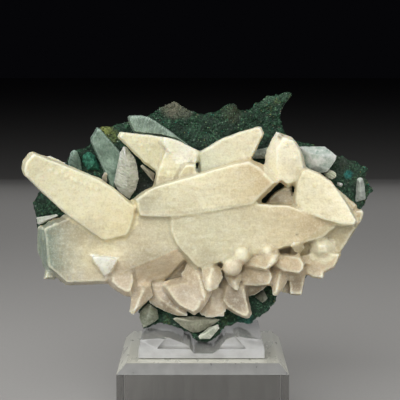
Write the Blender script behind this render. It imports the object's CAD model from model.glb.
from math import hypot, pi, radians
import random

import bpy
import numpy as np
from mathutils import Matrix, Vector, noise


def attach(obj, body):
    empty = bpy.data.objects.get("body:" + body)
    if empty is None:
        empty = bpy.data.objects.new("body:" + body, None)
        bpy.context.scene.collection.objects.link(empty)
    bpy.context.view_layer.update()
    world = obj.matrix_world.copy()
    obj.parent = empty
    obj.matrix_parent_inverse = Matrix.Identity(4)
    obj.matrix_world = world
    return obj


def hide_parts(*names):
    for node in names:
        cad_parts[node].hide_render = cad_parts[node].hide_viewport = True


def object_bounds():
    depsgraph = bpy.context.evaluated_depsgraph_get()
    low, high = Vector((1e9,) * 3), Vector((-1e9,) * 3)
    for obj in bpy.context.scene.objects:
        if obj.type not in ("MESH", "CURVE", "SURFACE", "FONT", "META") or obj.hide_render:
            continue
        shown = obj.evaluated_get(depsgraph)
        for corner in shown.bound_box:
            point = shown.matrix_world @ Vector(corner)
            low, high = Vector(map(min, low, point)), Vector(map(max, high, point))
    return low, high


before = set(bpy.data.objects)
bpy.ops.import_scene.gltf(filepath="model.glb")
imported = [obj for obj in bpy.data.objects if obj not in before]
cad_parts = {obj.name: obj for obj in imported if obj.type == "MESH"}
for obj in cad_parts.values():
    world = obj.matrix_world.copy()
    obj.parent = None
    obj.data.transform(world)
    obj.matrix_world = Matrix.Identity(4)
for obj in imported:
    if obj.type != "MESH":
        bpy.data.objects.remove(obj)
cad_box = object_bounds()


# The view: an eye 400 mm in front of the block's middle and 116 mm above the floor, looking 6.4 degrees down.
# It is a long lens, so the crystals at the left and right are seen almost square on.
EYE = (-0.0008, -0.3997, 0.1161)
LOOK_DOWN = radians(6.39)
FOCAL_PIXELS = 1303
FRAME_PIXELS = 400
SENSOR_MM = 36.0

bpy.ops.object.camera_add(location=EYE, rotation=(pi / 2 - LOOK_DOWN, 0, 0))
camera = bpy.context.object
camera.data.sensor_width = SENSOR_MM
camera.data.lens = SENSOR_MM * FOCAL_PIXELS / FRAME_PIXELS
camera.data.clip_start = 0.01
bpy.context.scene.camera = camera


# The matrix plate: a slab of dark rock under a crust of tiny green crystals, broken off all round.
# The crust is granular, a little lighter on its edges, with brown rock showing at the breaks.
MM = 0.001
MERGE_WITHIN = 0.001 * MM
PLATE_VOXEL = 0.55 * MM
GREEN_DEEP = (0.005, 0.016, 0.009, 1)
GREEN_MID = (0.015, 0.046, 0.025, 1)
GREEN_LIGHT = (0.07, 0.19, 0.10, 1)
GREEN_YELLOW = (0.16, 0.19, 0.05, 1)


def select_only(piece):
    """Selects the piece alone and makes it the active one."""
    bpy.ops.object.select_all(action="DESELECT")
    piece.select_set(True)
    bpy.context.view_layer.objects.active = piece


def copy_of(node, name):
    """A merged copy of a CAD node, alone in the selection."""
    select_only(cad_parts[node])
    bpy.ops.object.duplicate()
    piece = bpy.context.object
    piece.name = name
    piece.data.name = name
    piece.data.materials.clear()
    for key in list(piece.keys()):
        del piece[key]
    bpy.ops.object.mode_set(mode="EDIT")
    bpy.ops.mesh.select_all(action="SELECT")
    bpy.ops.mesh.remove_doubles(threshold=MERGE_WITHIN)
    bpy.ops.object.mode_set(mode="OBJECT")
    return piece


def apply_modifier(piece, kind, **settings):
    """Adds a modifier with these settings and bakes it into the mesh."""
    modifier = piece.modifiers.new(kind, kind)
    for key, value in settings.items():
        setattr(modifier, key, value)
    bpy.context.view_layer.objects.active = piece
    bpy.ops.object.modifier_apply(modifier=modifier.name)


def push_out(piece, amount):
    """Moves each point along its normal by amount(point in millimetres, normal), in millimetres."""
    mesh = piece.data
    normals = [vertex.normal.copy() for vertex in mesh.vertices]
    for vertex, normal in zip(mesh.vertices, normals):
        vertex.co += normal * amount(vertex.co / MM, normal) * MM
    mesh.update()


def keep_in_box(piece):
    """Holds every point inside the CAD box."""
    low, high = cad_box
    for vertex in piece.data.vertices:
        for axis in range(3):
            vertex.co[axis] = min(max(vertex.co[axis], low[axis]), high[axis])


def shade_smooth(piece):
    select_only(piece)
    bpy.ops.object.shade_smooth()


def new_material(name):
    """A node material: its nodes, its links, its shader, and Object coordinates."""
    material = bpy.data.materials.new(name)
    material.use_nodes = True
    nodes = material.node_tree.nodes
    links = material.node_tree.links
    shader = nodes["Principled BSDF"]
    place = nodes.new("ShaderNodeTexCoord").outputs["Object"]
    return material, nodes, links, shader, place


def noise_node(nodes, links, place, scale, detail=3, roughness=0.55):
    """An even, cloudy pattern. Scale is in blobs per metre."""
    node = nodes.new("ShaderNodeTexNoise")
    node.inputs["Scale"].default_value = scale
    node.inputs["Detail"].default_value = detail
    node.inputs["Roughness"].default_value = roughness
    links.new(place, node.inputs["Vector"])
    return node.outputs["Fac"]


def grey(level):
    return (level, level, level, 1)


def ramp(nodes, links, value, stops):
    """A colour ramp from (position, colour) pairs."""
    node = nodes.new("ShaderNodeValToRGB")
    node.color_ramp.elements[0].position, node.color_ramp.elements[0].color = stops[0]
    node.color_ramp.elements[1].position, node.color_ramp.elements[1].color = stops[-1]
    for position, colour in stops[1:-1]:
        node.color_ramp.elements.new(position).color = colour
    links.new(value, node.inputs["Fac"])
    return node.outputs["Color"]


def mix(nodes, links, factor, first, second):
    """A colour mix. Each side is a colour or another node's output."""
    node = nodes.new("ShaderNodeMix")
    node.data_type = "RGBA"
    sockets = [item for item in node.inputs if item.enabled]
    for socket, value in zip(sockets, (factor, first, second)):
        if isinstance(value, bpy.types.NodeSocket):
            links.new(value, socket)
        else:
            socket.default_value = value
    return [item for item in node.outputs if item.enabled][0]


def bump(nodes, links, height, strength, distance, before=None):
    """Relief that only the light sees, distance in metres, on top of the relief before it."""
    node = nodes.new("ShaderNodeBump")
    node.inputs["Strength"].default_value = strength
    node.inputs["Distance"].default_value = distance
    links.new(height, node.inputs["Height"])
    if before:
        links.new(before, node.inputs["Normal"])
    return node.outputs["Normal"]


def crust_material(name, patches):
    """Granular green crust. The patch colours come with the mesh, with their strength as alpha."""
    material, nodes, links, shader, place = new_material(name)
    fine = noise_node(nodes, links, place, 1300, 4, 0.7)
    broad = noise_node(nodes, links, place, 170, 4, 0.6)
    grains = nodes.new("ShaderNodeTexVoronoi")
    grains.inputs["Scale"].default_value = 1100
    links.new(place, grains.inputs["Vector"])
    base = ramp(nodes, links, fine, [(0.36, GREEN_DEEP), (0.52, GREEN_MID), (0.70, GREEN_LIGHT)])
    dull = ramp(nodes, links, broad, [(0.38, grey(0.75)), (0.50, grey(0))])
    base = mix(nodes, links, dull, base, GREEN_DEEP)
    warm = ramp(nodes, links, broad, [(0.58, grey(0)), (0.70, grey(0.7))])
    yellow = ramp(nodes, links, fine, [(0.38, GREEN_DEEP), (0.68, GREEN_YELLOW)])
    base = mix(nodes, links, warm, base, yellow)
    near_grains = [(0.04, grey(0.8)), (0.20, grey(0))]
    sparkle = ramp(nodes, links, grains.outputs["Distance"], near_grains)
    base = mix(nodes, links, sparkle, base, GREEN_LIGHT)
    patch = nodes.new("ShaderNodeAttribute")
    patch.attribute_name = patches
    broken = nodes.new("ShaderNodeMath")
    broken.operation = "MULTIPLY"
    links.new(patch.outputs["Alpha"], broken.inputs[0])
    gaps = ramp(nodes, links, fine, [(0.36, grey(0.15)), (0.58, grey(1))])
    links.new(gaps, broken.inputs[1])
    colour = mix(nodes, links, broken.outputs["Value"], base, patch.outputs["Color"])
    links.new(colour, shader.inputs["Base Color"])
    shader.inputs["Roughness"].default_value = 0.5
    shader.inputs["Specular IOR Level"].default_value = 0.5
    relief = bump(nodes, links, fine, 0.9, 0.0007)
    relief = bump(nodes, links, grains.outputs["Distance"], 0.7, 0.0005, relief)
    links.new(relief, shader.inputs["Normal"])
    return material


def seen_flat(piece):
    """Where the eye sees each point on the upright plane through the origin, in millimetres."""
    places = np.empty(len(piece.data.vertices) * 3)
    piece.data.vertices.foreach_get("co", places)
    places = places.reshape(-1, 3)
    eye = np.array(EYE)
    flat = eye + (places - eye) * (-eye[1] / (places[:, 1] - eye[1]))[:, None]
    return flat[:, 0] / MM, flat[:, 2] / MM, places / MM


def near(x, z, spot_x, spot_z, reach):
    """1 at the spot, 0 at its reach."""
    distance = np.hypot(x - spot_x, z - spot_z) / reach
    return np.clip(1 - distance * distance, 0, 1)


def colour_attribute(piece, name, colours, strength=1.0):
    """Writes a colour and its strength at each point."""
    attribute = piece.data.attributes.new(name, "FLOAT_COLOR", "POINT")
    values = np.ones((len(colours), 4), dtype=np.float32)
    values[:, :3] = colours
    values[:, 3] = strength
    attribute.data.foreach_set("color", values.ravel())


# Heights in millimetres of the crust's broad lumps, smaller lumps and grains, and how far all of it is let in
LUMPS, SMALL_LUMPS, CRUST_GRAINS, CRUST_LET_IN = 0.65, 0.45, 0.45, 0.3


def granular(point, normal):
    """Height of the crust's grains and lumps, in millimetres."""
    lumps = LUMPS * noise.noise(point * 0.38) + SMALL_LUMPS * noise.noise(point * 0.95)
    grains = CRUST_GRAINS * abs(noise.noise(point * 2.2))
    return lumps + grains - CRUST_LET_IN


# Patches on the plate: colour, x, z, reach in millimetres, strength
PATCHES = [
    ((0.20, 0.18, 0.13), -9.0, 100.4, 4.5, 0.9), ((0.17, 0.15, 0.11), -5.5, 99.0, 3.0, 0.6),
    ((0.025, 0.032, 0.022), 42.5, 82.5, 4.5, 0.9), ((0.13, 0.12, 0.09), 38.0, 86.0, 3.0, 0.5),
    ((0.05, 0.05, 0.045), -18.0, 77.0, 5.0, 0.9), ((0.03, 0.03, 0.028), 22.0, 74.0, 5.0, 0.8),
    ((0.34, 0.38, 0.09), -30.2, 92.6, 3.2, 0.8), ((0.24, 0.30, 0.08), -27.5, 91.0, 2.5, 0.6),
    ((0.02, 0.22, 0.20), 44.8, 79.3, 1.6, 0.9), ((0.03, 0.16, 0.13), 13.5, 33.2, 3.0, 0.6),
    ((0.08, 0.15, 0.09), 19.0, 103.0, 3.5, 0.6), ((0.07, 0.13, 0.08), 25.0, 104.5, 3.0, 0.6),
    ((0.10, 0.10, 0.05), 9.0, 98.0, 3.5, 0.4), ((0.08, 0.12, 0.06), -41.0, 74.0, 3.0, 0.4),
    ((0.11, 0.09, 0.05), -43.0, 71.0, 3.2, 0.6), ((0.10, 0.14, 0.08), 48.5, 77.0, 2.5, 0.5),
]
# Behind its own front a patch is whole down to the first depth and gone at the second, in millimetres
PATCH_WHOLE, PATCH_GONE = 2.1, 9.1
PATCH_SOFTNESS = 0.7


def patch_attribute(piece):
    """Spreads the patches over the crust's front, and lets them fade out round its rim."""
    x, z, places = seen_flat(piece)
    colours = np.zeros((len(x), 3))
    strength = np.zeros(len(x))
    for colour, spot_x, spot_z, reach, most in PATCHES:
        share = near(x, z, spot_x, spot_z, reach) ** PATCH_SOFTNESS * most
        if (share > 0).any():
            depth = places[:, 1] - places[share > 0, 1].min()
            share = share * np.clip((PATCH_GONE - depth) / (PATCH_GONE - PATCH_WHOLE), 0, 1)
        stronger = share > strength
        colours[stronger] = colour
        strength[stronger] = share[stronger]
    colour_attribute(piece, "patch", colours, strength)


plate = copy_of("matrix_plate", "plate_crust")
apply_modifier(plate, "REMESH", mode="VOXEL", voxel_size=PLATE_VOXEL)
push_out(plate, granular)
keep_in_box(plate)
shade_smooth(plate)
patch_attribute(plate)
plate.data.materials.append(crust_material("green_crust", "patch"))
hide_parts("matrix_plate")
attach(plate, "root")


# Loose grains on the crust: tiny eight-faced crystals grown into it, most green and a few yellow, brown or
# turquoise. They catch the light one by one, and they are all one piece.
GRAINS_DRAWN = 17000
GRAIN_RADIUS = (0.14, 0.36)
GRAIN_STRETCH = (1.3, 0.8, 1.0)
GRAIN_LET_IN = 0.1
GRAIN_SEED = 11
GRAIN_COLOURS = [
    ((0.012, 0.030, 0.018), 34), ((0.020, 0.055, 0.032), 26), ((0.045, 0.110, 0.065), 16),
    ((0.10, 0.20, 0.12), 9), ((0.16, 0.24, 0.13), 4), ((0.20, 0.20, 0.07), 3), ((0.02, 0.17, 0.12), 4),
    ((0.12, 0.10, 0.07), 4),
]
# The crust is thinner on the plate's back, where the surface faces back by more than the first number: the
# second is the share of the places drawn there that gets no grain
BACK_FACING, BACK_LEFT_BARE = 0.35, 0.6
# How much of a patch's colour its grains take, and how much paler they are than the patch
PATCH_ON_GRAINS, GRAINS_PALER = 0.8, 1.3


def attribute_node(nodes, name, output="Fac"):
    """What was written at each point under this name."""
    node = nodes.new("ShaderNodeAttribute")
    node.attribute_name = name
    return node.outputs[output]


dice = random.Random(GRAIN_SEED)
corner_points = [(1, 0, 0), (-1, 0, 0), (0, 1, 0), (0, -1, 0), (0, 0, 1), (0, 0, -1)]
corner_faces = [(0, 2, 4), (2, 1, 4), (1, 3, 4), (3, 0, 4), (2, 0, 5), (1, 2, 5), (3, 1, 5), (0, 3, 5)]
grain_points, grain_faces, grain_colours = [], [], []
faces = list(plate.data.polygons)
for _ in range(GRAINS_DRAWN):
    face = dice.choice(faces)
    if face.normal.y > BACK_FACING and dice.random() < BACK_LEFT_BARE:
        continue
    radius = dice.uniform(*GRAIN_RADIUS) * MM
    turn = Vector((dice.uniform(-1, 1), dice.uniform(-1, 1), dice.uniform(-1, 1))).normalized()
    spin = turn.rotation_difference(face.normal).to_matrix()
    first = len(grain_points)
    centre = face.center - face.normal * radius * GRAIN_LET_IN
    for corner in corner_points:
        stretched = Vector([part * longer for part, longer in zip(corner, GRAIN_STRETCH)]) * radius
        grain_points.append(spin @ stretched + centre)
    grain_faces += [tuple(first + index for index in face_corners) for face_corners in corner_faces]
    chosen = dice.choices(GRAIN_COLOURS, weights=[weight for _, weight in GRAIN_COLOURS])[0][0]
    grain_colours += [chosen] * len(corner_points)
grain_data = bpy.data.meshes.new("crust_grains")
grain_data.from_pydata(grain_points, [], grain_faces)
grains = bpy.data.objects.new("crust_grains", grain_data)
bpy.context.scene.collection.objects.link(grains)
keep_in_box(grains)
x, z, _ = seen_flat(grains)
grain_colours = np.array(grain_colours)
for colour, spot_x, spot_z, reach, most in PATCHES:
    share = (near(x, z, spot_x, spot_z, reach) * most * PATCH_ON_GRAINS)[:, None]
    grain_colours = grain_colours * (1 - share) + np.array(colour) * GRAINS_PALER * share
colour_attribute(grains, "grain", grain_colours)

material, nodes, links, shader, place = new_material("green_grains")
grain_colour = attribute_node(nodes, "grain", "Color")
speckle = noise_node(nodes, links, place, 2600, 2)
lighter = ramp(nodes, links, speckle, [(0.4, grey(0)), (0.7, grey(0.4))])
links.new(mix(nodes, links, lighter, grain_colour, GREEN_LIGHT), shader.inputs["Base Color"])
shader.inputs["Roughness"].default_value = 0.30
shader.inputs["IOR"].default_value = 1.6
links.new(bump(nodes, links, speckle, 0.4, 0.0001), shader.inputs["Normal"])
grains.data.materials.append(material)
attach(grains, "root")


# The main calcite cluster: long flat crystals grown into one another and onto the plate, cream and frosted,
# with soft edges. Each has its own shade of cream. Thin edges let light through, and the lower points are
# pinkish beige.
CLUSTER_VOXEL = 0.46 * MM
CREAM = (0.66, 0.60, 0.42)
LOW_BEIGE = (0.53, 0.46, 0.36)
HOLLOW_BROWN = (0.204, 0.156, 0.096)
WHITE = (0.94, 0.92, 0.74, 1)
CREASE = (0.36, 0.27, 0.15, 1)

# What the eye sees of each crystal, back to front: its colours, the run that they follow from x, z to x, z,
# and its outline
SHADES = [
    ([(0.50, 0.40, 0.26), (0.58, 0.48, 0.32)], (-20, 40, 30, 60),
     [(-60, 30), (60, 30), (60, 110), (-60, 110)]),
    ([(0.52, 0.47, 0.31), (0.58, 0.53, 0.37)], (-15, 74, -5, 86),
     [(-16, 80), (-16, 73), (0, 76), (0, 90), (-14, 90)]),
    ([(0.82, 0.79, 0.57), (0.74, 0.70, 0.49)], (-26, 92, -10, 80),
     [(-28, 93), (-24, 88), (-14, 79), (-9, 78), (-6, 84), (-12, 92), (-20, 93)]),
    ([(0.86, 0.84, 0.68), (0.93, 0.92, 0.80)], (-12, 90, -2, 84),
     [(-13, 91.5), (-13, 88), (-8, 82.5), (-1, 82.5), (0, 86), (-5, 90)]),
    ([(0.62, 0.57, 0.41), (0.68, 0.63, 0.45)], (-7, 79, -2, 82),
     [(-8, 78), (-4, 77), (-1, 79), (-1, 83), (-6, 83)]),
    ([(0.60, 0.63, 0.50), (0.72, 0.69, 0.52), (0.78, 0.73, 0.54)], (-2, 82, 16, 92),
     [(-2, 78), (17, 82), (20, 93), (18, 95), (2, 89.5), (-2, 87)]),
    ([(0.34, 0.30, 0.20), (0.44, 0.36, 0.24)], (20, 66, 28, 76),
     [(18, 69), (30, 68), (30, 76.5), (24, 76.5)]),
    ([(0.44, 0.42, 0.30), (0.66, 0.62, 0.42), (0.76, 0.71, 0.50), (0.70, 0.62, 0.40), (0.60, 0.48, 0.28)],
     (-21, 69, 20, 80),
     [(-23, 72), (-14, 76), (15, 85), (19, 83.5), (25, 77), (17, 69.5), (12, 69), (4, 67), (-5, 65),
      (-21, 65)]),
    ([(0.20, 0.26, 0.21), (0.44, 0.43, 0.32), (0.64, 0.58, 0.39), (0.70, 0.63, 0.43), (0.68, 0.61, 0.42),
      (0.60, 0.54, 0.37), (0.60, 0.55, 0.38), (0.64, 0.58, 0.39), (0.60, 0.55, 0.37)],
     (-48, 58, -2, 62),
     [(-53, 62), (-44, 66), (-42, 68), (0, 68), (1, 58), (-5, 52), (-12, 45), (-44, 44), (-51, 48)]),
    ([(0.90, 0.75, 0.52), (0.95, 0.80, 0.56)], (-28, 48, -6, 54),
     [(-31, 45.5), (-2, 58.8), (0.5, 58), (-5, 52), (-11.5, 44.5), (-30, 44)]),
    ([(0.62, 0.58, 0.40), (0.66, 0.58, 0.38), (0.56, 0.45, 0.27)], (6, 60, 38, 63),
     [(-12, 67), (7, 69.5), (17, 71), (28, 70.5), (44, 63), (38, 59), (28, 57), (8, 52), (-2, 49), (-9, 57)]),
    ([(0.88, 0.85, 0.68), (0.84, 0.78, 0.57)], (22, 90, 28, 80),
     [(22, 94), (28, 91.5), (33, 81), (31, 77), (26, 74), (19, 79), (18.5, 86)]),
    ([(0.72, 0.67, 0.46), (0.80, 0.73, 0.51)], (30, 78, 46, 65),
     [(29, 81.5), (33, 82), (44, 73), (49, 64), (43, 62.5), (27.5, 69.5), (28, 77)]),
    ([(0.50, 0.42, 0.25), (0.56, 0.50, 0.33)], (32, 58, 46, 60),
     [(38, 64), (43, 63), (48, 64), (49, 69), (52, 69), (45, 55), (34, 52), (28, 56)]),
    ([(0.66, 0.60, 0.41), (0.82, 0.77, 0.57)], (36, 51, 37, 58),
     [(33, 57), (36, 60), (41, 59), (42, 54), (38, 51), (33, 53)]),
    ([(0.50, 0.41, 0.28), (0.58, 0.50, 0.35)], (-25, 42, -24, 52),
     [(-31, 47), (-30, 53), (-21, 52), (-20, 43), (-26, 40)]),
    ([(0.66, 0.62, 0.43), (0.80, 0.76, 0.53), (0.84, 0.79, 0.55), (0.80, 0.71, 0.44)], (-55, 84, -24, 62),
     [(-58, 80), (-54, 88), (-48, 86.5), (-31, 79), (-19.5, 70), (-20, 64), (-24, 58.5), (-31, 58), (-43, 66),
      (-51, 74)]),
    ([(0.95, 0.95, 0.86), (0.93, 0.93, 0.82)], (-34, 54, -28, 50), [(-35, 54.5), (-26, 53.5), (-30, 46.8)]),
]
# Round white ends that point at the viewer: x, z, radius. In the first four, all that lies in front of
# ENDS_FRONT is rounded off. ROUND_SWELL is how far the ends stand out, ROUND_GLOW how much white they take.
ROUND_ENDS = [(9, 50.8, 3.6), (12, 54.5, 3.4), (20, 55.5, 2.6), (23, 54.3, 1.8), (2.5, 47, 4.0)]
SOFT_ENDS = 4
ENDS_FRONT = -14
ROUND_SWELL = 0.6
ROUND_GLOW = 0.2
# The low beige sets in below LOW_TOP, grows from the first height down to the second, and covers this share
LOW_TOP, LOW_FADE, LOW_SHARE = 50, (52, 42), 0.7
# Behind the first depth the shades give way to plain cream, which is all there is from the second depth on
BACK_FADE = (-2, 4)
BACK_CREAM = 0.85
# Warm hollows and dark specks: x, z, reach, strength
DARK_SPOTS = [
    (-11, 38, 4, 0.8), (10, 40, 4.5, 0.7), (29, 45, 4, 0.7), (24, 91, 1.2, 1.0), (23.5, 71.5, 2.0, 0.5),
    (17, 43, 4, 0.8), (29.2, 60.6, 0.5, 1.0), (-15, 51, 7, 0.35), (-9, 51, 7, 0.35), (-20, 51, 6, 0.35),
    (-43, 65, 3, 0.4), (-36, 60, 6, 0.2), (-8.7, 78.2, 0.5, 0.8), (1, 52.5, 5, 0.3), (11.6, 40.0, 4.5, 0.75),
    (29.0, 44.7, 3.0, 0.5), (-19.4, 41.6, 3.5, 0.3), (-5.5, 42.2, 3.5, 0.25),
]
# Growth bumps, half of them along the left blade's upper edge: x, z, radius
BUMPS = [
    (-44.6, 79.4, 0.7), (-43.2, 79.9, 0.5), (-41.8, 78.6, 0.9), (-40.3, 77.9, 0.7), (-39.0, 77.2, 0.9),
    (-37.6, 76.7, 0.7), (-36.0, 75.9, 1.1), (-34.2, 75.3, 0.8), (-32.6, 74.6, 0.6), (-46.5, 80.6, 0.6),
    (-10.4, 86.2, 0.8), (-12.0, 84.6, 0.7), (-9.2, 82.0, 0.8), (-12.6, 81.2, 0.9), (-10.6, 79.6, 0.7),
    (-18.6, 88.2, 0.7), (-16.4, 86.4, 0.6), (25.4, 88.0, 0.6), (28.6, 84.4, 0.8), (34.5, 76.0, 0.6),
]
# Only what lies in front of this depth has bumps. Then how wide a bump's foot is, in radii, how pointed it
# is, and its height in millimetres
BUMPS_FRONT = -4
BUMP_FOOT, BUMP_POINTEDNESS, BUMP_HEIGHT = 1.3, 1.5, 0.45
# Heights in millimetres of the frosting's steps, hillocks and grain, and how far all of it is let in
STEPS, HILLOCKS, FROST_GRAIN, FROST_LET_IN = 0.10, 0.16, 0.08, 0.06
# The upright grooves lie left of this x and below this z, and are whole 5 mm further left
GROOVES_FROM, GROOVES_BELOW, GROOVES_WHOLE, GROOVE_HEIGHT = -38, 68, 5, 0.5


def inside(x, z, outline):
    """Which of the points lie inside the outline."""
    result = np.zeros(len(x), dtype=bool)
    for (x1, z1), (x2, z2) in zip(outline, outline[1:] + outline[:1]):
        crossing = (z1 > z) != (z2 > z)
        with np.errstate(divide="ignore", invalid="ignore"):
            at = (x2 - x1) * (z - z1) / (z2 - z1) + x1
        result ^= crossing & (x < at)
    return result


def float_attribute(piece, name, values):
    """Writes a number at each point."""
    attribute = piece.data.attributes.new(name, "FLOAT", "POINT")
    attribute.data.foreach_set("value", np.asarray(values, dtype=np.float32))


def edge_attribute(piece):
    """Writes how sharply the surface bends at each point: above 0 along edges, below 0 in creases."""
    mesh = piece.data
    count = len(mesh.vertices)
    places = np.empty(count * 3)
    mesh.vertices.foreach_get("co", places)
    places = places.reshape(-1, 3)
    normals = np.empty(count * 3)
    mesh.vertices.foreach_get("normal", normals)
    normals = normals.reshape(-1, 3)
    ends = np.empty(len(mesh.edges) * 2, dtype=np.int64)
    mesh.edges.foreach_get("vertices", ends)
    first, second = ends.reshape(-1, 2).T
    step = places[second] - places[first]
    step /= np.linalg.norm(step, axis=1)[:, None] + 1e-12
    bend = np.bincount(first, -(step * normals[first]).sum(axis=1), count)
    bend += np.bincount(second, (step * normals[second]).sum(axis=1), count)
    touching = np.maximum(np.bincount(first, minlength=count) + np.bincount(second, minlength=count), 1)
    bend /= touching
    around = np.bincount(first, bend[second], count) + np.bincount(second, bend[first], count)
    float_attribute(piece, "edge", np.clip(2 * bend + 2 * around / touching, -1, 1))


def frosted(point, normal):
    """Height of the frosting on a crystal: growth steps along its length, hillocks and fine grain.

    The far left end also has upright grooves, and the small round ends are swollen.
    """
    steps = STEPS * noise.noise(Vector((point.x * 0.22, point.y * 0.5, point.z * 1.0)))
    grooves = 0.0
    if point.x < GROOVES_FROM and point.z < GROOVES_BELOW:
        upright = noise.noise(Vector((point.x * 0.9, point.y * 0.4, point.z * 0.12)))
        grooves = min(1, (GROOVES_FROM - point.x) / GROOVES_WHOLE) * GROOVE_HEIGHT * upright
    ends = sum(max(0.0, 1 - hypot(point.x - x, point.z - z) / reach) for x, z, reach in ROUND_ENDS)
    swell = ROUND_SWELL * min(1, 1.6 * ends)
    hillocks = HILLOCKS * noise.noise(point * 0.42)
    grain = FROST_GRAIN * noise.noise(point * 1.5)
    return steps + grooves + swell + hillocks + grain - FROST_LET_IN


cluster = copy_of("calcite_cluster", "cream_crystals")
apply_modifier(cluster, "REMESH", mode="VOXEL", voxel_size=CLUSTER_VOXEL)
x, z, places = seen_flat(cluster)
soft = cluster.vertex_groups.new(name="round_ends")
for end_x, end_z, reach in ROUND_ENDS[:SOFT_ENDS]:
    chosen = np.nonzero((near(x, z, end_x, end_z, reach) > 0) & (places[:, 1] < ENDS_FRONT))[0]
    soft.add(chosen.tolist(), 1.0, "REPLACE")
apply_modifier(cluster, "SMOOTH", factor=0.5, iterations=14, vertex_group="round_ends")
apply_modifier(cluster, "SMOOTH", factor=0.5, iterations=3)
cluster.vertex_groups.clear()
edge_attribute(cluster)

x, z, places = seen_flat(cluster)
tone = np.tile(np.array(CREAM), (len(x), 1))
for colours, (x1, z1, x2, z2), outline in SHADES:
    chosen = inside(x, z, outline)
    run = np.array([x2 - x1, z2 - z1])
    along = ((x - x1) * run[0] + (z - z1) * run[1]) / (run ** 2).sum()
    steps = np.linspace(0, 1, len(colours))
    blend = np.stack([np.interp(along, steps, part) for part in zip(*colours)], axis=1)
    tone[chosen] = blend[chosen]
low = np.clip((LOW_FADE[0] - z) / (LOW_FADE[0] - LOW_FADE[1]), 0, 1) * (z < LOW_TOP)
low = low[:, None] * LOW_SHARE
tone = tone * (1 - low) + np.array(LOW_BEIGE) * low
for spot_x, spot_z, reach, strength in DARK_SPOTS:
    share = (near(x, z, spot_x, spot_z, reach) * strength)[:, None]
    tone = tone * (1 - share) + np.array(HOLLOW_BROWN) * share
for end_x, end_z, reach in ROUND_ENDS:
    share = (near(x, z, end_x, end_z, reach) * ROUND_GLOW)[:, None]
    tone = tone * (1 - share) + np.array(WHITE[:3]) * share
behind = np.clip((places[:, 1] - BACK_FADE[0]) / (BACK_FADE[1] - BACK_FADE[0]), 0, 1)[:, None]
tone = tone * (1 - behind) + np.array(CREAM) * BACK_CREAM * behind
colour_attribute(cluster, "tone", tone)

push_out(cluster, frosted)
for bump_x, bump_z, radius in BUMPS:
    share = near(x, z, bump_x, bump_z, radius * BUMP_FOOT) * (places[:, 1] < BUMPS_FRONT)
    for index in np.nonzero(share > 0)[0]:
        cluster.data.vertices[index].co.y -= share[index] ** BUMP_POINTEDNESS * BUMP_HEIGHT * MM
keep_in_box(cluster)
shade_smooth(cluster)


def part_of(nodes, links, value, low, high, strength):
    """How far value has gone from low to high, times strength."""
    node = nodes.new("ShaderNodeMapRange")
    node.inputs["From Min"].default_value = low
    node.inputs["From Max"].default_value = high
    node.inputs["To Max"].default_value = strength
    links.new(value, node.inputs["Value"])
    return node.outputs["Result"]


material, nodes, links, shader, place = new_material("cream_calcite")
edge = attribute_node(nodes, "edge")
cloud = noise_node(nodes, links, place, 140, 5, 0.65)
grain = noise_node(nodes, links, place, 1900, 3, 0.6)
stretch = nodes.new("ShaderNodeMapping")
stretch.inputs["Scale"].default_value = (0.16, 1, 1.2)
stretch.inputs["Rotation"].default_value = (0, radians(-7), 0)
links.new(place, stretch.inputs["Vector"])
lines = noise_node(nodes, links, stretch.outputs["Vector"], 900, 3)
mottle = noise_node(nodes, links, place, 620, 4, 0.6)
colour = attribute_node(nodes, "tone", "Color")
# Each pattern: where it is darkest and how dark, then where it is palest and how pale
patterns = (
    (cloud, 0.25, 0.22, 0.75, 0.22), (mottle, 0.28, 0.20, 0.72, 0.22), (lines, 0.28, 0.12, 0.75, 0.12),
    (grain, 0.28, 0.28, 0.74, 0.28),
)
for value, dark_at, dark, light_at, light in patterns:
    colour = mix(nodes, links, part_of(nodes, links, value, 0.48, dark_at, dark), colour, CREASE)
    colour = mix(nodes, links, part_of(nodes, links, value, 0.52, light_at, light), colour, WHITE)
colour = mix(nodes, links, part_of(nodes, links, edge, 0.10, 0.8, 0.75), colour, WHITE)
colour = mix(nodes, links, part_of(nodes, links, edge, -0.12, -0.8, 0.35), colour, CREASE)
links.new(colour, shader.inputs["Base Color"])
shader.inputs["Roughness"].default_value = 0.42
shader.inputs["IOR"].default_value = 1.5
shader.inputs["Subsurface Weight"].default_value = 0.6
shader.inputs["Subsurface Radius"].default_value = (1.0, 0.8, 0.5)
shader.inputs["Subsurface Scale"].default_value = 0.0036
relief = bump(nodes, links, mottle, 0.28, 0.0006)
relief = bump(nodes, links, lines, 0.25, 0.0004, relief)
links.new(bump(nodes, links, grain, 0.5, 0.00025, relief), shader.inputs["Normal"])
cluster.data.materials.append(material)
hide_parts("calcite_cluster")
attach(cluster, "root")


# Calcite crystals that grew apart from the cluster on the plate: thin grey-green blades behind, small white
# prisms at the edges. The dark rock shows through them, and their faces carry wavy growth lines.
APART_VOXEL = 0.30 * MM
BLADE_COLOURS = {
    "top_green_crystal": (0.28, 0.37, 0.30), "left_green_crystal": (0.24, 0.34, 0.27),
    "left_grey_crystal": (0.22, 0.32, 0.26), "low_green_crystal": (0.22, 0.24, 0.17),
    "low_grey_crystal": (0.38, 0.38, 0.28), "low_dark_crystal": (0.14, 0.15, 0.10),
    "left_white_crystal": (0.76, 0.78, 0.66), "left_white_prism": (0.66, 0.70, 0.58),
    "striated_prism": (0.50, 0.47, 0.38), "pink_stub": (0.66, 0.58, 0.46),
    "small_cream_crystal": (0.50, 0.52, 0.38), "tiny_white_crystal": (0.70, 0.70, 0.60),
    "right_prism": (0.46, 0.50, 0.45), "pale_crystal_behind": (0.50, 0.54, 0.46),
    "low_white_crystal": (0.62, 0.66, 0.53),
}


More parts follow.
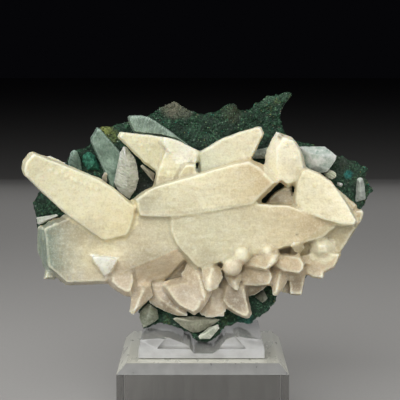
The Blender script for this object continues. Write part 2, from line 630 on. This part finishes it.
def blade_material(name, colour, slope):
    """Translucent blade with wavy growth lines across it, paler along its edges."""
    material, nodes, links, shader, place = new_material(name)
    pale = (*(min(0.95, part * 1.3 + 0.12) for part in colour), 1)
    dark = (*(part * 0.62 for part in colour), 1)
    cloud = noise_node(nodes, links, place, 330, 4)
    fine = noise_node(nodes, links, place, 1700, 3)
    shade = ramp(nodes, links, cloud, [(0.3, dark), (0.5, (*colour, 1)), (0.74, pale)])
    shade = mix(nodes, links, part_of(nodes, links, fine, 0.54, 0.74, 0.5), shade, pale)
    shade = mix(nodes, links, part_of(nodes, links, fine, 0.46, 0.28, 0.5), shade, dark)
    edge = attribute_node(nodes, "edge")
    rim = part_of(nodes, links, edge, 0.15, 0.8, 0.8)
    links.new(mix(nodes, links, rim, shade, pale), shader.inputs["Base Color"])
    shader.inputs["Roughness"].default_value = 0.32
    shader.inputs["IOR"].default_value = 1.5
    shader.inputs["Transmission Weight"].default_value = 0.2
    shader.inputs["Subsurface Weight"].default_value = 0.4
    shader.inputs["Subsurface Radius"].default_value = (0.8, 1.0, 0.8)
    shader.inputs["Subsurface Scale"].default_value = 0.0012
    turned = nodes.new("ShaderNodeMapping")
    turned.inputs["Rotation"].default_value = (0, slope, 0)
    links.new(place, turned.inputs["Vector"])
    waves = nodes.new("ShaderNodeTexWave")
    waves.inputs["Scale"].default_value = 300
    waves.inputs["Distortion"].default_value = 9
    waves.inputs["Detail"].default_value = 3
    waves.inputs["Detail Scale"].default_value = 1.6
    links.new(turned.outputs["Vector"], waves.inputs["Vector"])
    relief = bump(nodes, links, waves.outputs["Fac"], 0.5, 0.0003)
    links.new(bump(nodes, links, fine, 0.4, 0.0002, relief), shader.inputs["Normal"])
    return material


def softly(point, normal):
    """Height of the small unevenness of a crystal's faces, in millimetres."""
    return 0.10 * noise.noise(point * 0.8) + 0.05 * noise.noise(point * 2.2) - 0.03


def grown_piece(node, name):
    """A CAD node with its edges rounded a little and its faces made uneven."""
    piece = copy_of(node, name)
    apply_modifier(piece, "REMESH", mode="VOXEL", voxel_size=APART_VOXEL)
    apply_modifier(piece, "SMOOTH", factor=0.5, iterations=1)
    edge_attribute(piece)
    push_out(piece, softly)
    keep_in_box(piece)
    shade_smooth(piece)
    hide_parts(node)
    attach(piece, "root")
    return piece


for number, (node, colour) in enumerate(BLADE_COLOURS.items()):
    blade = grown_piece(node, node + "_face")
    blade.data.materials.append(blade_material(node + "_calcite", colour, radians(25 * number % 90)))


# The clear crystal at the right: glassy calcite with white veils inside. It grew on the plate's rim, with
# a small cream crystal and a tiny white one beside it.
clear = grown_piece("clear_crystal", "glassy_crystal")
material, nodes, links, shader, place = new_material("glassy_calcite")
veil = noise_node(nodes, links, place, 330, 5, 0.7)
veils = [(0.38, (0.42, 0.56, 0.47, 1)), (0.50, (0.80, 0.88, 0.80, 1)), (0.62, (1, 1, 0.97, 1))]
shade = ramp(nodes, links, veil, veils)
edge = attribute_node(nodes, "edge")
rim = part_of(nodes, links, edge, 0.1, 0.7, 0.9)
links.new(mix(nodes, links, rim, shade, (1, 1, 0.98, 1)), shader.inputs["Base Color"])
shader.inputs["Roughness"].default_value = 0.10
shader.inputs["IOR"].default_value = 1.6
shader.inputs["Transmission Weight"].default_value = 0.38
links.new(bump(nodes, links, veil, 0.8, 0.0009), shader.inputs["Normal"])
clear.data.materials.append(material)


# The bright lump at the left: a knob of velvety green crust, lighter than the rest of the plate.
# It grew on the rock itself, and small round lumps cover it.
KNOB_LUMPS, KNOB_LET_IN = 0.4, 0.14


def knobbly(point, normal):
    """Height of the knob's small round lumps, in millimetres."""
    return KNOB_LUMPS * abs(noise.noise(point * 1.4)) - KNOB_LET_IN


lump = grown_piece("green_lump", "green_knob")
push_out(lump, knobbly)
keep_in_box(lump)
material, nodes, links, shader, place = new_material("bright_crust")
velvet = noise_node(nodes, links, place, 900, 4, 0.65)
greens = [(0.34, (0.006, 0.035, 0.020, 1)), (0.5, (0.022, 0.12, 0.075, 1)), (0.68, (0.06, 0.26, 0.17, 1))]
links.new(ramp(nodes, links, velvet, greens), shader.inputs["Base Color"])
shader.inputs["Roughness"].default_value = 0.6
links.new(bump(nodes, links, velvet, 0.8, 0.0004), shader.inputs["Normal"])
lump.data.materials.append(material)


# The stand: a clear acrylic block with bevelled upper edges, and on it a clear cradle with a scooped top.
# Both are cut from cast sheet. The block's top and bevels keep a satin of fine scratches from sawing and
# wiping, its sides are clear, and its two upright back edges are ground to narrow matt flats.
EDGE_RADIUS = 0.14 * MM
EDGE_ANGLE = radians(25)
SMOOTH_ANGLE = radians(20)


def acrylic(name, colour, clearness, roughness, scratch):
    """Acrylic of one finish, with fine scratches. A low number in scratch draws them out along that axis."""
    material, nodes, links, shader, place = new_material(name)
    shader.inputs["IOR"].default_value = 1.49
    shader.inputs["Transmission Weight"].default_value = clearness
    stretch = nodes.new("ShaderNodeMapping")
    stretch.inputs["Scale"].default_value = scratch
    links.new(place, stretch.inputs["Vector"])
    wipe = noise_node(nodes, links, stretch.outputs["Vector"], 300, 5)
    dull = [part * 0.90 for part in colour]
    clear = [min(1, part * 1.10) for part in colour]
    streaks = ramp(nodes, links, wipe, [(0.38, (*dull, 1)), (0.52, (*colour, 1)), (0.70, (*clear, 1))])
    links.new(streaks, shader.inputs["Base Color"])
    low, high = (part * roughness for part in (0.8, 1.25))
    smear = ramp(nodes, links, wipe, [(0.35, grey(low)), (0.75, grey(high))])
    links.new(smear, shader.inputs["Roughness"])
    return material


# The block's sides take the first of its finishes. These are the places of the others in the list.
BLOCK_TOP, BLOCK_BEVEL, BLOCK_EDGE = 1, 2, 3
BLOCK_FINISHES = [
    acrylic("clear_acrylic", (0.47, 0.46, 0.44), 0.92, 0.035, (1, 1, 0.2)),
    acrylic("satin_acrylic_top", (0.74, 0.735, 0.64), 0.15, 0.30, (1, 0.25, 1)),
    acrylic("satin_acrylic_bevel", (0.36, 0.36, 0.35), 0.35, 0.34, (1, 1, 0.25)),
    acrylic("matt_acrylic_edge", (0.97, 0.97, 0.95), 1.0, 0.70, (1, 1, 0.1)),
]
CRADLE_FINISHES = [acrylic("clear_cradle_acrylic", (0.95, 0.95, 0.92), 0.66, 0.08, (1, 0.4, 1))]

# The front of the cradle has a shallow panel milled into it, narrower at the top, whose soft edges shine.
PANEL = [(-13.9, 28.5), (13.2, 28.5), (9.8, 32.3), (-10.6, 32.3)]
PANEL_FRONT, PANEL_BACK = -19.5, -15.2
PANEL_ROUND = 1.0 * MM
# A face of the block is its top, or one of the bevels, when its normal rises by more than this
FLAT_RISE, BEVEL_RISE = 0.9, 0.2
BACK_FLAT = 0.45 * MM


def mill_panel(cradle):
    """Cuts the panel into the cradle's front with a box that is drawn in at the top."""
    middle = (PANEL_FRONT + PANEL_BACK) / 2
    bpy.ops.mesh.primitive_cube_add(size=1, location=(0, middle * MM, 0))
    cutter = bpy.context.object
    cutter.scale.y = (PANEL_BACK - PANEL_FRONT) * MM
    bpy.ops.object.transform_apply(location=True, rotation=True, scale=True)
    for vertex in cutter.data.vertices:
        left, right = (PANEL[0], PANEL[1]) if vertex.co.z < 0 else (PANEL[3], PANEL[2])
        x, z = left if vertex.co.x < 0 else right
        vertex.co.x, vertex.co.z = x * MM, z * MM
    apply_modifier(cutter, "BEVEL", width=PANEL_ROUND, segments=4, limit_method="ANGLE",
                   angle_limit=radians(30))
    apply_modifier(cradle, "BOOLEAN", operation="DIFFERENCE", solver="EXACT", object=cutter)
    bpy.data.objects.remove(cutter)


def finish_block(block):
    """Gives the block's faces their finishes and grinds its two upright back edges.

    They shine through the block. Its front bevel is the darker one, and the other bevels look like its top.
    """
    select_only(block)
    bpy.ops.object.mode_set(mode="EDIT")
    bpy.ops.mesh.select_all(action="SELECT")
    bpy.ops.mesh.dissolve_limited(angle_limit=radians(1))
    bpy.ops.mesh.select_all(action="DESELECT")
    bpy.ops.mesh.select_mode(type="EDGE")
    bpy.ops.object.mode_set(mode="OBJECT")
    for face in block.data.polygons:
        if face.normal.z > FLAT_RISE:
            face.material_index = BLOCK_TOP
        elif face.normal.z > BEVEL_RISE:
            face.material_index = BLOCK_BEVEL if face.normal.y < -BEVEL_RISE else BLOCK_TOP
    for line in block.data.edges:
        one, two = (block.data.vertices[index].co for index in line.vertices)
        upright = abs(one.x - two.x) < 0.1 * MM and abs(one.y - two.y) < 0.1 * MM
        line.select = upright and one.y > 0
    bpy.ops.object.mode_set(mode="EDIT")
    bpy.ops.mesh.bevel(offset=BACK_FLAT, segments=1, material=BLOCK_EDGE)
    bpy.ops.object.mode_set(mode="OBJECT")


for node, name, finish, finishes in (("stand_block", "clear_block", finish_block, BLOCK_FINISHES),
                                     ("stand_cradle", "clear_cradle", mill_panel, CRADLE_FINISHES)):
    piece = copy_of(node, name)
    for material in finishes:
        piece.data.materials.append(material)
    finish(piece)
    apply_modifier(piece, "BEVEL", width=EDGE_RADIUS, segments=2, limit_method="ANGLE",
                   angle_limit=EDGE_ANGLE)
    select_only(piece)
    bpy.ops.object.shade_smooth_by_angle(angle=SMOOTH_ANGLE)
    keep_in_box(piece)
    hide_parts(node)
    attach(piece, "root")


# The floor is plain and pale. The lights are soft boxes hung close round the stone, and each spreads only
# so far, so the floor far behind and the room stay dim.
FLOOR_RADIUS = 6.0
FLOOR_COLOUR = (0.42, 0.41, 0.395, 1)
ROOM = (0.0018, 0.0018, 0.0024, 1)
MIDDLE = (0, 0, 0.065)
LIGHT_SPREAD = radians(110)

bpy.ops.mesh.primitive_circle_add(vertices=128, radius=FLOOR_RADIUS, fill_type="NGON", location=(0, 0, 0))
floor = bpy.context.object
floor.name = "floor"
material, nodes, links, shader, place = new_material("pale_floor")
speckle = noise_node(nodes, links, place, 900, 2)
light_tone = tuple(min(1, part * 1.04) for part in FLOOR_COLOUR)
links.new(ramp(nodes, links, speckle, [(0.3, FLOOR_COLOUR), (0.7, light_tone)]), shader.inputs["Base Color"])
shader.inputs["Roughness"].default_value = 0.8
shader.inputs["Specular IOR Level"].default_value = 0.1
floor.data.materials.append(material)


def soft_box(name, place, size, power, mirrored=False, seen_through=False):
    """A wide, even light on the stone's middle. Only some are mirrored, or seen through the clear stand."""
    bpy.ops.object.light_add(type="AREA", location=place)
    light = bpy.context.object
    light.name = name
    light.visible_camera = False
    light.visible_transmission = seen_through
    light.visible_glossy = mirrored
    light.data.shape = "RECTANGLE"
    light.data.size, light.data.size_y = size
    light.data.energy = power
    light.data.spread = LIGHT_SPREAD
    light.rotation_euler = (Vector(MIDDLE) - Vector(place)).to_track_quat("-Z", "Y").to_euler()


soft_box("key_light", (-0.16, -0.62, 0.46), (0.80, 0.50), 2.2, mirrored=True)
soft_box("top_light", (-0.04, 0.06, 0.56), (0.60, 0.40), 0.45)
soft_box("right_light", (0.52, -0.26, 0.20), (0.30, 0.36), 0.25)
soft_box("left_light", (-0.54, -0.10, 0.22), (0.30, 0.36), 0.28)
soft_box("low_fill", (0.06, -0.76, 0.10), (0.60, 0.18), 0.50)
soft_box("back_fill", (0.0, 0.80, 0.18), (0.90, 0.26), 0.55)
soft_box("edge_light", (0.0, 0.80, 0.12), (0.90, 0.26), 0.10, mirrored=True, seen_through=True)

world = bpy.data.worlds.new("dim_room")
world.use_nodes = True
world.node_tree.nodes["Background"].inputs["Color"].default_value = ROOM
bpy.context.scene.world = world
bpy.context.scene.view_settings.view_transform = "Standard"
